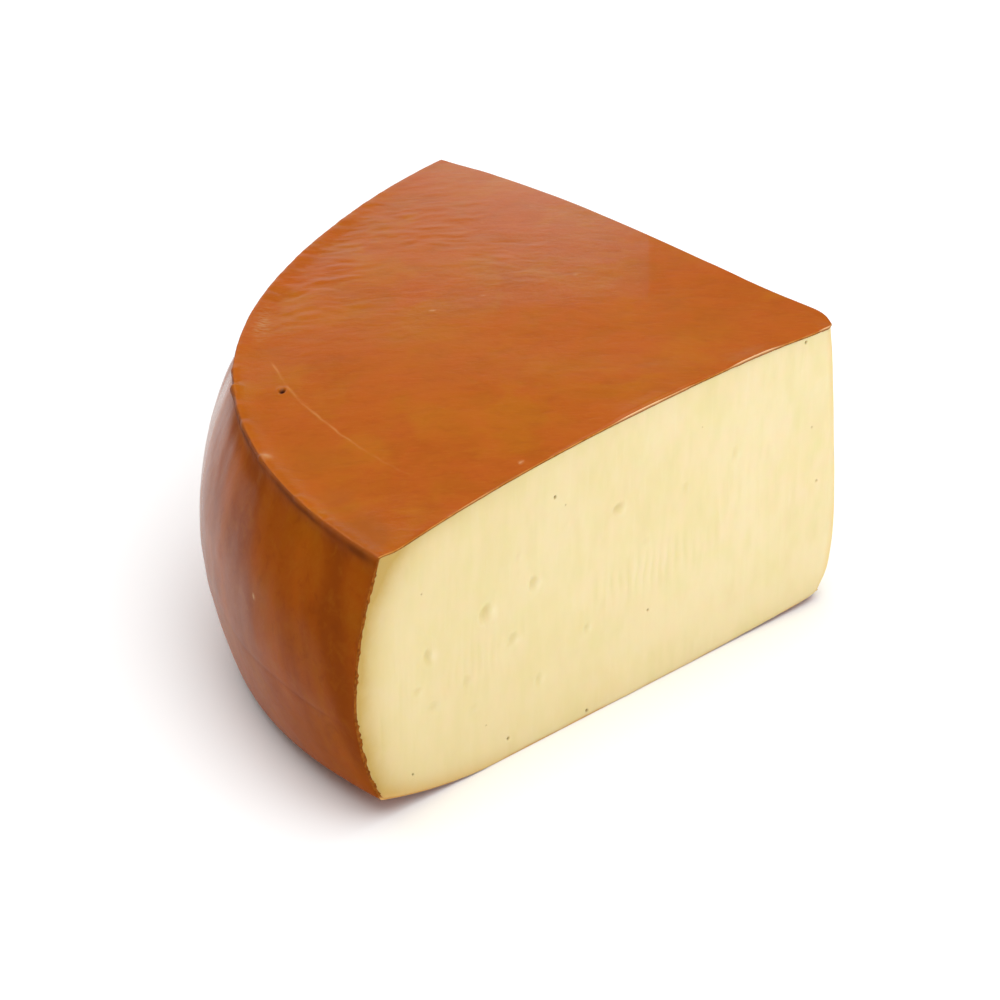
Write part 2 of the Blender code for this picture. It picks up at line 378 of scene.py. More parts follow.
def make_coat():
    around = 320
    n_top, n_side, n_foot = 196, 104, 44
    x = np.linspace(0, 1, n_top + 1)
    tops = 1 - (1 - x) ** 1.22
    sides = np.linspace(0, 1, n_side + 1)
    x = np.linspace(0, 1, n_foot + 1)
    foots = 1 - x**1.25
    u_all = np.linspace(0, 1, around + 1)
    r, z = section(u_all, tops, sides, foots)
    rows = len(r)
    b = Builder()

    def columns(i):
        radius = float(r[i].mean())
        if i in (0, rows - 1):
            return 0
        want = around
        under = i > n_top + n_side + 2
        for limit in (0.075, 0.034, 0.016, 0.007, 0.003):
            if radius < limit:
                want //= 2
        if under:
            want = min(want, 80)
        elif i > n_top + n_side:
            want = 160
        return max(want, 10)

    outer = []
    for i in range(rows):
        n = columns(i)
        if n == 0:
            row = b.add(place(np.array([0.0]), z[i, :1], np.array([0.0])))
        else:
            step = around // n
            row = b.add(place(r[i, ::step], z[i, ::step], u_all[::step]))
        outer.append(row)
    # halve the count one row at a time where two rows differ by more
    for i in range(rows - 1):
        a, c = outer[i], outer[i + 1]
        if 1 in (len(a), len(c)):
            b.strip(a, c)
            continue
        while len(a) - 1 > 2 * (len(c) - 1):
            thin = a[::2]
            b.strip(a, thin)
            a = thin
        b.strip(a, c)

    # inner face: few columns, the same rows
    inner_n = 20
    u_in = np.linspace(0, 1, inner_n + 1)
    ri, zi = section(u_in, tops, sides, foots)
    thick = np.full(rows, 0.75 * MM)
    thick[n_top + n_side :] = 0.17 * MM
    thick[: n_top + 1] = 0.62 * MM
    r0, z0 = ri, zi
    ri, zi = inset(ri, zi, thick[:, None])
    ri, zi = tuck(ri, zi, r0, z0, n_top, n_top + n_side, 0.62 * MM, 0.75 * MM, 0.17 * MM)
    inner = []
    for i in range(rows):
        if i in (0, rows - 1):
            inner.append(b.add(place(np.array([0.0]), zi[i, :1], np.array([0.0]))))
        else:
            inner.append(b.add(place(ri[i], zi[i], u_in)))
    for i in range(rows - 1):
        b.strip(inner[i], inner[i + 1], flip=True, slot=1)

    # the cut edge: two rows of vertices between outer and inner, a little proud
    everything = np.concatenate(b.points)
    for which, out in ((0, FRONT_OUT), (-1, BACK_OUT)):
        o = np.array([row[which] for row in outer])
        n = np.array([row[which] for row in inner])
        po, pi = everything[o], everything[n]
        s = np.cumsum(np.r_[0, np.hypot(*np.diff(np.c_[r[:, 0], z[:, 0]], axis=0).T)])
        wob = noise(np.c_[s, 0 * s, 0 * s], 0.0031, 3 + which) + 0.8 * noise(np.c_[s, 0 * s, 0 * s], 0.0012, 5 + which)
        k = np.arange(len(s))
        teeth = 0.5 + 0.5 * lattice(k, 0 * k, 0 * k, 77 + which)
        on_side = ease(0, 0.006, s - s[n_top]) * (1 - ease(-0.003, 0.0, s - s[n_top + n_side]))
        on_top = 1 - ease(0, 0.002, s - s[n_top])
        proud = (on_top * (0.05 + 0.03 * wob) + on_side * (0.08 + 0.03 * wob + 0.10 * teeth)) * MM
        raised = np.clip(lift_of(r[:, 0], LIFTS) / (0.26 * MM), 0, 1) * on_top * (which == 0)
        raised[n_top:] = 0.0
        proud += 0.07 * MM * raised
        proud[[0, -1]] = 0.03 * MM
        e1 = po + (pi - po) * 0.18 + out * proud[:, None]
        e2 = po + (pi - po) * (0.80 + 0.06 * wob + 0.80 * on_side * teeth**2 + 0.65 * raised)[:, None] + out * (proud * 0.9)[:, None]
        if which == -1:  # both cut edges share the corner at the point
            e1[[0, -1]], e2[[0, -1]] = first[0], first[1]
            a = b.add(e1[1:-1])
            c = b.add(e2[1:-1])
            a = [first_ids[0][0]] + a + [first_ids[0][1]]
            c = [first_ids[1][0]] + c + [first_ids[1][1]]
        else:
            lean = (FRONT_OUT + BACK_OUT) * 0.1 * MM
            e1[[0, -1]] = (po + (pi - po) * 0.18)[[0, -1]] + lean
            e2[[0, -1]] = (po + (pi - po) * 0.84)[[0, -1]] + lean
            first = (e1[[0, -1]], e2[[0, -1]])
            a, c = b.add(e1), b.add(e2)
            first_ids = ((a[0], a[-1]), (c[0], c[-1]))
        flip = which == -1
        b.strip(list(o), a, flip=flip, slot=1)
        b.strip(a, c, flip=flip, slot=1)
        b.strip(c, list(n), flip=flip, slot=1)
    return b.object("rind_coating")


# (x, y) in mm of lines and marks on the top
CREASE = ((-64.0, -15.0), (-58.9, -27.0), (-53.7, -37.5), (-45.1, -49.9), (-35.5, -61.7), (-26.3, -70.8), (-16.0, -79.0))
CREASE_B = ((-60.5, -24.5), (-56.0, -33.5), (-49.5, -42.5))
PIT = (-58.5, -32.6)
TOP_SPECKS = ((12.7, 23.2, 0.28), (2.8, -69.1, 0.42), (-11.2, 12.4, 0.30), (-23.6, 4.8, 0.38))
LIP_KNOBS = ((0.222, 1.3, 0.85), (0.379, 1.1, -0.9), (0.368, 0.9, 0.5), (0.33, 0.6, 0.25), (0.12, 0.7, 0.2))


def sculpt_coat(thing):
    mesh = thing.data
    crease = curve_through(CREASE) * MM
    crease_b = curve_through(CREASE_B) * MM

    def near_crease(p):
        d, _ = to_path(p[:, :2], crease)
        pit = np.hypot(p[:, 0] - PIT[0] * MM, p[:, 1] - PIT[1] * MM)
        return ((d < 1.7 * MM) | (pit < 2.2 * MM)) & (p[:, 2] > 0.06)

    refine(mesh, near_crease, 3)
    p, n = coordinates(mesh), normals(mesh)
    r, u = polar(p)
    lip_r, lip_z = rim(u)
    around = 2 * HALF * LIP_RADIUS * u  # metres along the rim
    flat = np.c_[p[:, :2], 0 * r]
    share = np.clip(r / lip_r, 0, 1)
    w_top = np.where(p[:, 2] > top_z(share, u) - 0.3 * MM, 1.0, 0.0) * (share < 0.999)
    down = np.clip((lip_z - p[:, 2]), 0, None)
    under = p[:, 2] < 0.5 * MM + underside(r, u)
    w_side = (1 - w_top) * np.where(under & (r < lip_r), 0.0, 1.0)

    d = np.zeros(len(p))
    # top: broad unevenness, then shallow wrinkles lying across, strongest near the rim
    rimward = ease(0.45, 0.98, share)
    steady = 1 - 0.8 * ease(0.75, 0.95, u)
    d += w_top * steady * (0.30 * MM * noise(flat, 0.042, 1) + 0.12 * MM * noise(flat, 0.017, 2))
    d += w_top * 0.030 * MM * noise(flat, 0.0070, 4)
    bent = flat + np.c_[0.0022 * noise(flat, 0.011, 5), 0.0016 * noise(flat, 0.009, 6), 0 * r]
    wrinkle = fractal(bent, (0.0068, 0.0026, 1.0), 7, 2)
    patch = ease(-0.2, 0.5, noise(flat, 0.030, 9)) * rimward * ease(0.42, 0.60, u)
    d += w_top * 0.085 * MM * wrinkle * (0.14 + 1.5 * patch * steady)
    # crease
    jitter = np.c_[0.00022 * noise(flat, 0.0030, 14), 0.00022 * noise(flat, 0.0034, 15)]
    dist, along = to_path(p[:, :2] + jitter, crease)
    strength = np.sin(PI * np.clip(along * 1.05, 0, 1)) ** 0.5 * (1 - 0.90 * ease(0.25, 0.95, along))
    broken = np.clip(0.72 + 0.65 * noise(flat, 0.0042, 12), 0.12, 1.25)
    ridge = strength * broken * np.exp(-((dist / (0.32 * MM)) ** 2)) * w_top
    dist_b, along_b = to_path(p[:, :2] + jitter, crease_b)
    ridge_b = 0.6 * broken * np.sin(PI * along_b) * np.exp(-((dist_b / (0.26 * MM)) ** 2)) * w_top
    d += 0.10 * MM * np.maximum(ridge, ridge_b)
    # pit
    pit = np.hypot(p[:, 0] - PIT[0] * MM, (p[:, 1] - PIT[1] * MM) * 0.72)
    hole = np.exp(-((pit / (0.78 * MM)) ** 4)) * w_top
    d += 0.10 * MM * np.exp(-(((pit - 1.25 * MM) / (0.4 * MM)) ** 2)) * w_top
    specks = np.zeros(len(p))
    for x, y, size in TOP_SPECKS:
        e = np.hypot(p[:, 0] - x * MM, p[:, 1] - y * MM)
        specks = np.maximum(specks, np.exp(-((e / (size * MM)) ** 2)) * w_top)
    d += 0.1 * MM * specks
    # rim: the bead wavers, with knobs and one torn notch
    at_lip = np.exp(-((np.hypot(r - lip_r, p[:, 2] - lip_z) / (1.6 * MM)) ** 2))
    line = np.c_[around, 0 * r, 0 * r]
    waver = 0.42 * noise(line, 0.0095, 21) + 0.30 * noise(line, 0.0034, 22) + 0.20 * noise(line, 0.0016, 23)
    knobs = np.zeros(len(p))
    for at, width, height in LIP_KNOBS:
        knobs += height * np.exp(-(((u - at) * 2 * HALF * LIP_RADIUS / (width * MM)) ** 2))
    calm = 1 - 0.88 * ease(0.38, 0.48, u)
    d += at_lip * (waver * calm + knobs) * MM * 0.8
    # side: folds that hang from the rim, then broad unevenness
    hang = np.exp(-((down / 0.021) ** 2)) * w_side
    wave_line = np.c_[around + 0.25 * down, 0.35 * down, 0 * r]
    d += hang * MM * (0.50 * noise(wave_line, (0.0095, 0.024, 1.0), 31) + 0.22 * noise(wave_line, (0.0040, 0.013, 1.0), 32)) * ease(0.0010, 0.005, down)
    d += w_side * MM * (0.35 * noise(p, 0.036, 33) + 0.14 * noise(p, 0.013, 34) + 0.085 * noise(p, 0.0052, 38)) * ease(0.0, 0.01, down)
    # a faint seam around the side, and one small speck
    seam_z = 0.0290 + 0.0006 * noise(line, 0.020, 35)
    seam = w_side * np.exp(-(((p[:, 2] - seam_z) / (0.55 * MM)) ** 2)) * ease(0.0, 0.05, u) * (1 - 0.8 * ease(0.20, 0.30, u))
    d -= 0.16 * MM * seam
    side_speck = w_side * np.exp(-((np.hypot((u - 0.168) * 2 * HALF * LIP_RADIUS, p[:, 2] - 0.0471) / (0.42 * MM)) ** 2))
    specks = np.maximum(specks, side_speck)
    d += 0.12 * MM * side_speck
    # it never sinks into the cheese below
    d = np.where(d < 0, -0.40 * MM * np.tanh(-d / (0.40 * MM)), d)
    d = d * (1 - hole) - 0.50 * MM * hole
    # nothing moves where the coating meets the board, at the point or on the inner face
    depth_in = inner_mask(mesh)
    d *= 1 - depth_in
    d *= np.where(under & (r < lip_r), 0.0, 1.0)
    d *= ease(0.0, 0.006, r)
    d *= np.where(w_side > 0.5, ease(0.0, 0.008, p[:, 2] - underside(r, u)), 1.0)
    # the cut planes stay flat
    move = n * d[:, None]
    q = p + move
    q[:, 2] = np.where(p[:, 2] < 0.01, np.maximum(q[:, 2], np.minimum(p[:, 2], 0.0)), q[:, 2])

    # lifted edges: the coating rises off the cheese along parts of the cuts
    for out, along_dir, lifts in ((FRONT_OUT, FRONT_ALONG, LIFTS), (BACK_OUT, BACK_ALONG, BACK_LIFTS)):
        back_off = -((p - AXIS) @ out)
        reach = (p - AXIS) @ along_dir
        fall = np.exp(-((np.maximum(back_off, 0) / 0.0035) ** 2)) * (p[:, 2] > 0.06) * (share < 0.97)
        q[:, 2] += lift_of(np.maximum(reach, 0), lifts) * fall
    mesh.vertices.foreach_set("co", q.astype(np.float32).ravel())
    mesh.update()

    reach = (p - AXIS) @ FRONT_ALONG
    # the lifted stretches are paler: partly cheese smeared on the coat's cut edge, partly a painted highlight where
    # the edge catches the light
    lifted = np.clip(lift_of(np.maximum(reach, 0), LIFTS) / (0.26 * MM), 0, 1) * (u < 0.5) * (1 - w_side)
    store(mesh, "lifted", lifted)
    store(mesh, "crease", np.maximum(ridge, ridge_b))
    store(mesh, "hole", hole)
    knob = np.exp(-((np.hypot((u - 0.222) * 2 * HALF * LIP_RADIUS, r - lip_r + 1.3 * MM) / (1.2 * MM)) ** 2)) * w_top
    specks = np.maximum(specks, 0.34 * knob * np.clip(0.8 + 0.8 * noise(flat, 0.0018, 16), 0, 1.3))
    store(mesh, "speck", specks)
    # painted highlight: a paler line along the lip
    lip_highlight = np.exp(-(((r - lip_r) / (0.55 * MM)) ** 2)) * np.exp(-(((p[:, 2] - lip_z) / (0.7 * MM)) ** 2))
    store(mesh, "lip", lip_highlight)
    # painted shade: a dark band just below the lip, broken up by noise, where the bead overhangs the side
    under_lip_shade = np.exp(-(((down - 1.5 * MM) / (1.2 * MM)) ** 2)) * w_side
    torn = np.clip(0.80 + 0.55 * noise(line, (0.0065, 1.0, 1.0), 46), 0.15, 1.2)
    store(mesh, "neck", np.clip(under_lip_shade * torn, 0, 1) * (1 - 0.6 * ease(0.38, 0.5, u)))
    scuffs = np.exp(-((np.hypot((p[:, 0] + 67.5 * MM) * 1.6, (p[:, 1] - 2.0 * MM) * 0.42) / (3.4 * MM)) ** 2)) * w_top
    store(mesh, "scuff", scuffs)
    store(mesh, "patch", patch * w_top)
    store(mesh, "side", w_side)
    # the side is duller beside the front cut, so it reflects less light there
    ragged = 0.030 * noise(wave_line, (0.011, 0.022, 1.0), 41) + 0.016 * noise(p, 0.005, 42)
    edge_at = np.interp(p[:, 2], (0.030, 0.048, 0.058, 0.068, 0.0705, 0.074, 0.077), (0.0, 0.044, 0.115, 0.16, 0.22, 0.31, 0.36))
    shine = 0.02 + 0.58 * ease(edge_at, edge_at + 0.20, u + ragged)
    shine = shine * (1 - 0.34 * ease(0.038, 0.024, p[:, 2]) * (1 - ease(0.18, 0.34, u)))
    lit = ease(-0.0002, 0.0007, down)
    film = ease(0.0, 0.0006, 0.0317 - p[:, 0] + 0.0004 * noise(line * 0 + flat, 0.004, 43))
    film = film * ease(0.002, 0.012, p[:, 1] - 0.15 * p[:, 0]) * ease(-0.045, 0.015, p[:, 0]) * w_top
    store(mesh, "gloss", np.where(w_side > 0.5, (shine + 0.34 * ease(0.32, 0.44, u)) * lit + 0.22 * (1 - lit), (0.40 + 0.39 * film) * (1 - 0.45 * ease(0.984, 0.996, share) * (1 - ease(0.40, 0.50, u)))) * (1 - hole))
    store(mesh, "seam", seam)
    # painted shade: the side is a darker brown than the top, darker still beside the front cut and lighter towards the
    # bottom; the blotches along the hanging folds are the coating's own uneven tone
    side_shade_blotches = 0.65 * noise(wave_line, (0.0075, 0.028, 1.0), 36) + 0.35 * noise(p, 0.011, 37) + 0.30 * noise(wave_line, (0.0035, 0.013, 1.0), 39)
    store(mesh, "side_shade_blotches", w_side * np.clip(0.5 + 0.7 * side_shade_blotches + 0.25 * ease(0.10, 0.0, u) * ease(0.02, 0.05, p[:, 2]), 0, 1) * (1 - 0.8 * ease(0.030, 0.006, p[:, 2])))
    # a duller, pinker colour on the top near the rim beside the front cut
    front_rim_tint = w_top * ease(0.30, 0.02, u) * ease(0.84, 0.97, share) * ease(-0.6, 0.3, noise(flat, 0.008, 44))
    store(mesh, "front_rim_tint", front_rim_tint)
    store(mesh, "foot", ease(0.0, 0.0008, 0.0012 - p[:, 2] + underside(r, u)))


def inner_mask(mesh):
    """1 on vertices that touch a face of the second material, 0 elsewhere."""
    mask = np.zeros(len(mesh.vertices))
    for poly in mesh.polygons:
        if poly.material_index == 1:
            for v in poly.vertices:
                mask[v] = 1.0
    return mask


# ------------------------------------------------------------ the cheese
# front cut: (reach from the axis, height, radius, depth) in mm
EYES = (
    (73.6, 58.0, 1.7, 0.55), (101.6, 47.8, 1.7, 0.45), (116.8, 46.0, 2.1, 0.60), (108.4, 34.4, 1.5, 0.35),
    (135.3, 41.4, 1.7, 0.45), (83.7, 27.1, 1.3, 0.30), (99.8, 18.9, 1.5, 0.25), (123.0, 28.3, 1.4, 0.25),
    (33.0, 57.0, 1.4, 0.30), (50.5, 54.2, 1.1, 0.20), (139.0, 33.0, 1.2, 0.25), (134.0, 26.0, 1.6, 0.20),
    (107.0, 57.5, 1.2, 0.15), (91.0, 60.0, 1.0, 0.12), (64.0, 44.0, 1.4, 0.15), (121.0, 20.0, 1.3, 0.15),
)
PINHOLES = (
    (94.6, 69.7, 0.50, 0.9), (62.3, 23.1, 0.42, 0.6), (109.7, 5.6, 0.50, 0.9), (140.5, 9.4, 0.42, 0.5),
    (82.9, 1.6, 0.55, 0.7), (10.2, 81.9, 0.50, 0.9), (137.0, 60.0, 0.28, 0.3), (91.0, 66.0, 0.25, 0.3),
    (117.0, 13.0, 0.25, 0.3), (45.0, 70.0, 0.22, 0.25), (6.3, 55.5, 0.45, 0.22), (3.4, 38.3, 0.50, 0.26),
)
BACK_EYES = (
    (28.0, 50.0, 1.6, 0.45), (47.0, 31.0, 2.0, 0.55), (63.0, 61.0, 1.4, 0.40), (82.0, 44.0, 1.9, 0.50),
    (97.0, 22.0, 1.4, 0.35), (110.0, 55.0, 1.7, 0.50), (128.0, 38.0, 1.5, 0.40), (58.0, 17.0, 1.2, 0.25),
    (118.0, 12.0, 1.2, 0.25), (140.0, 52.0, 1.3, 0.30), (36.0, 69.0, 1.1, 0.20), (92.0, 68.0, 1.2, 0.25),
)
BACK_PINHOLES = (
    (39.0, 24.0, 0.45, 0.7), (71.0, 36.0, 0.4, 0.6), (88.0, 57.0, 0.5, 0.8), (104.0, 40.0, 0.35, 0.5),
    (121.0, 63.0, 0.45, 0.7), (133.0, 21.0, 0.4, 0.6), (21.0, 62.0, 0.35, 0.5), (66.0, 8.0, 0.45, 0.7),
)
KNIFE = ((61.0, 35.5, 19.0, 6.0, 2.8, 0.13), (118.0, 33.0, 12.0, 8.0, 2.3, 0.06), (30.0, 44.0, 10.0, 14.0, 3.6, 0.05), (143.0, 36.0, 5.0, 12.0, 1.7, 0.045))


def make_cheese():
    n, m, inner = 268, 142, 14
    x = np.linspace(0, 1, n + 1)
    tops = 1 - (1 - x) ** 1.12
    sides = np.linspace(0, 1, m + 1)
    foots = tops[::-1]
    u_all = np.r_[0.0, 0.004, np.linspace(0.03, 0.97, inner - 3), 0.996, 1.0]
    r, z = section(u_all, tops, sides, foots)
    rows = len(r)
    thick = np.full(rows, 0.70 * MM)
    thick[: n + 1] = 0.57 * MM
    thick[n + m :] = 0.12 * MM
    r0, z0 = r, z
    r, z = inset(r, z, thick[:, None])
    r, z = tuck(r, z, r0, z0, n, n + m, 0.57 * MM, 0.70 * MM, 0.12 * MM)
    b = Builder()
    skin = []
    for i in range(rows):
        if i in (0, rows - 1):
            skin.append(b.add(place(np.array([0.0]), z[i, :1], np.array([0.0]))))
        else:
            skin.append(b.add(place(r[i], z[i], u_all)))
    for i in range(rows - 1):
        b.strip(skin[i], skin[i + 1])
    zt, zf = z[0, 0], z[-1, 0]
    levels = zt + (zf - zt) * np.linspace(0, 1, m + 1)
    point = [skin[0][0]] + b.add(place(0 * levels[1:-1], levels[1:-1], 0 * levels[1:-1])) + [skin[-1][0]]
    for which, u in ((0, 0.0), (-1, 1.0)):
        ids = np.array([row[which] for row in skin])
        outline = np.c_[r[:, which], z[:, which]]
        top, under = ids[: n + 1], ids[::-1][: n + 1]
        wall = ids[n : n + m + 1]
        a = tops[:, None]
        v = np.linspace(0, 1, m + 1)[None, :]
        pt, pu = outline[: n + 1], outline[::-1][: n + 1]
        ps, pp = outline[n : n + m + 1], np.c_[0 * levels, levels]
        grid = (
            pt[:, None] * (1 - v)[..., None]
            + pu[:, None] * v[..., None]
            + pp[None] * (1 - a)[..., None]
            + ps[None] * a[..., None]
            - (pt[0] * ((1 - a) * (1 - v))[..., None])
            - (pt[-1] * (a * (1 - v))[..., None])
            - (pu[0] * ((1 - a) * v)[..., None])
            - (pu[-1] * (a * v)[..., None])
        )
        grid = place(grid[..., 0], grid[..., 1], u)
        index = np.zeros((n + 1, m + 1), int)
        index[:, 0], index[:, m], index[0], index[n] = top, under, point, wall
        index[1:n, 1:m] = np.array(b.add(grid[1:n, 1:m].reshape(-1, 3))).reshape(n - 1, m - 1)
        for i in range(n):
            b.strip(list(index[i]), list(index[i + 1]), flip=which == 0)
    return b.object("cheese_paste")


def sculpt_cheese(thing):
    mesh = thing.data
    cuts = (
        (FRONT_OUT, FRONT_ALONG, EYES, PINHOLES, KNIFE, 0),
        (BACK_OUT, BACK_ALONG, BACK_EYES, BACK_PINHOLES, ((70.0, 40.0, 30.0, 14.0, 3.4, 0.05), (120.0, 30.0, 12.0, 18.0, 2.4, 0.03)), 50),
    )

    def near_pinholes(p):
        found = np.zeros(len(p), bool)
        for out, along, _, holes, _, seed in cuts:
            off, reach = from_cut(p - AXIS, seed == 0)
            off = np.abs(off) < 0.4 * MM
            for x, y, size, _ in holes:
                found |= off & (np.hypot(reach - x * MM, p[:, 2] - y * MM) < (size + 1.1) * MM)
        return found

    refine(mesh, near_pinholes, 3)
    p = coordinates(mesh)
    q = p.copy()
    total = {k: np.zeros(len(p)) for k in ("eye", "pale", "pin", "rind", "edge", "tan", "shade_gradient", "relief_shading")}
    outline_r, outline_z = section(np.array([0.0, 1.0]), np.linspace(0, 1, 80), np.linspace(0, 1, 60), np.linspace(1, 0, 60))
    for side_no, (out, along, eyes, holes, knife, seed) in enumerate(cuts):
        v = p - AXIS
        z = p[:, 2]
        off, reach = from_cut(v, side_no == 0)
        near = np.where((np.abs(off) < 0.32 * MM) & (reach > -0.009), 1.0, 0.0)
        line = np.c_[outline_r[:, side_no], outline_z[:, side_no]]
        flat = np.c_[reach, z]
        picked = near > 0.5
        gap = np.full(len(p), 1.0)
        side_gap = np.full(len(p), 1.0)
        foot_gap = np.full(len(p), 1.0)
        gap[picked], _ = to_path(flat[picked], line)
        side_gap[picked], _ = to_path(flat[picked], line[79:139])
        foot_gap[picked], _ = to_path(flat[picked], line[138:])
        plane = np.c_[reach, z, 0 * z]
        d = 0.22 * MM * noise(plane, 0.030, 60 + seed) + 0.11 * MM * noise(plane, 0.010, 61 + seed)
        d += 0.045 * MM * noise(plane, 0.0042, 65 + seed)
        d += 0.035 * MM * noise(plane, (0.0024, 0.016, 1.0), 62 + seed)
        d += 0.016 * MM * noise(plane, (0.0011, 0.025, 1.0), 66 + seed) * ease(0.4, -0.2, noise(plane, 0.024, 67 + seed))
        for x, y, wx, wy, period, height in knife:
            window = np.exp(-(((reach / MM - x) / wx) ** 2) - (((z / MM - y) / wy) ** 2))
            sway = 0.9 * noise(plane, 0.008, 63 + seed)
            d += height * MM * window * np.sin(2 * PI * reach / MM / period + 2.2 * sway)
        small = 0.6 * noise(plane, (0.0030, 0.0075, 1.0), 68 + seed) + 0.4 * noise(plane, (0.0014, 0.0045, 1.0), 69 + seed)
        d += 0.030 * MM * small
        # painted light and shade: the colour follows the small relief and the knife ripples, paler on the ridges and
        # darker in the dips
        tone = 0.5 + 0.42 * small
        for x, y, wx, wy, period, height in knife:
            window = np.exp(-(((reach / MM - x) / wx) ** 2) - (((z / MM - y) / wy) ** 2))
            sway = 0.9 * noise(plane, 0.008, 63 + seed)
            tone += 3.2 * height * window * np.sin(2 * PI * reach / MM / period + 2.2 * sway)
        eye, pale = np.zeros(len(p)), np.zeros(len(p))
        for x, y, size, depth in eyes:
            stretch = 1.0 + 0.25 * math.sin(x * 12.9)
            e = np.hypot((reach / MM - x) / stretch, (z / MM - y) * stretch)
            e = e * (1 + 0.30 * noise(plane, 0.0022, 64 + seed)) / 0.88
            cup = np.exp(-((e / size) ** 2.6))
            d -= 1.7 * depth * MM * cup
            d += 0.30 * depth * MM * np.exp(-(((e - 1.6 * size) / (0.6 * size)) ** 2))
            # painted shade: each eye is darker inside
            eye = np.maximum(eye, cup * min(1.0, depth / 0.5))
            # painted highlight: a paler crescent beside each eye
            e = np.hypot((reach / MM - x + 0.95 * size) / 0.8, z / MM - y + 0.35 * size) / 0.88
            pale = np.maximum(pale, np.exp(-((e / size) ** 2)) * (1 - cup) * min(1.0, depth / 0.5))
        if side_no == 0:
            scratch = np.exp(-(((reach / MM - 150.0 - 0.03 * (z / MM - 26)) / 0.42) ** 2)) * ease(19.5, 22.0, z / MM) * ease(32.5, 29.0, z / MM)
            d -= 0.10 * MM * scratch
            eye = np.maximum(eye, 0.8 * scratch)
        pin = np.zeros(len(p))
        for x, y, size, depth in holes:
            e = np.hypot(reach / MM - x, (z / MM - y) * 0.85) / 0.72
            cup = np.exp(-((e / size) ** 4))
            d -= depth * MM * cup
            pin = np.maximum(pin, cup * min(1.0, depth / 0.7))
        # the cheese has shrunk a little from its skin
        shrink = 0.03 * np.exp(-((gap / (0.55 * MM)) ** 2)) + 0.14 * np.exp(-((side_gap / (5.0 * MM)) ** 2))
        d -= shrink * MM
        fade = ease(0.0, 1.0 * MM, gap + 0.9 * MM)
        q += out * (d * near * fade)[:, None]
        for key, value in (
            ("eye", eye), ("pale", pale), ("pin", pin), ("relief_shading", np.clip(tone, 0, 1)),
            ("rind", np.exp(-((side_gap / (6.5 * MM)) ** 1.7)) * 0.85 + (0.15 + 0.45 * ease(95 * MM, 140 * MM, reach)) * np.exp(-((gap / (3.6 * MM)) ** 1.5)) + 0.5 * np.exp(-((np.hypot(reach - 0.149, z - 0.0745) / (9.0 * MM)) ** 2))),
            ("edge", np.exp(-((gap / (0.8 * MM)) ** 2))),
            ("tan", np.exp(-((foot_gap / (2.2 * MM)) ** 1.4)) * ease(95 * MM, 135 * MM, reach) + 0.5 * np.exp(-((foot_gap / (0.7 * MM)) ** 2))),
            # painted shade: the cut darkens away from the point and towards the bottom
            ("shade_gradient", np.clip(ease(0.0, 0.155, reach) * 0.7 + 0.4 * ease(0.045, 0.0, z), 0, 1)),
        ):
            total[key] = np.maximum(total[key], value * (near > 0.5))
    # the pointed edge is rounded, most at mid height
    v = p - AXIS
    up = p[:, 2] / CENTRE_HEIGHT
    bow = POINT_BOW * np.sin(PI * np.clip(up, 0, 1) ** POINT_BOW_POWER)
    from_edge = np.hypot(*(v - (-FRONT_ALONG * bow[:, None]))[:, :2].T)
    room = (1.2 + 2.6 * np.sin(PI * np.clip(up, 0, 1)) ** 2) * MM
    pull = np.clip(1 - from_edge / room, 0, 1) ** 2 * room * 0.36
    keep = ease(0.0, 1.2 * MM, CENTRE_HEIGHT - p[:, 2] - 0.4 * MM) * ease(POINT_LIFT, POINT_LIFT + 1.5 * MM, p[:, 2])
    lean = (FRONT_OUT + BACK_OUT) / np.linalg.norm(FRONT_OUT + BACK_OUT)
    q -= lean * (pull * keep)[:, None]
    mesh.vertices.foreach_set("co", q.astype(np.float32).ravel())
    mesh.update()
    for key, value in total.items():
        store(mesh, key, value)
    store(mesh, "point", np.clip(1.25 - from_edge / (3.3 * MM), 0, 1))


def smooth(thing, degrees):
    mesh = thing.data
    mesh.shade_smooth()
    mesh.set_sharp_from_angle(angle=math.radians(degrees))


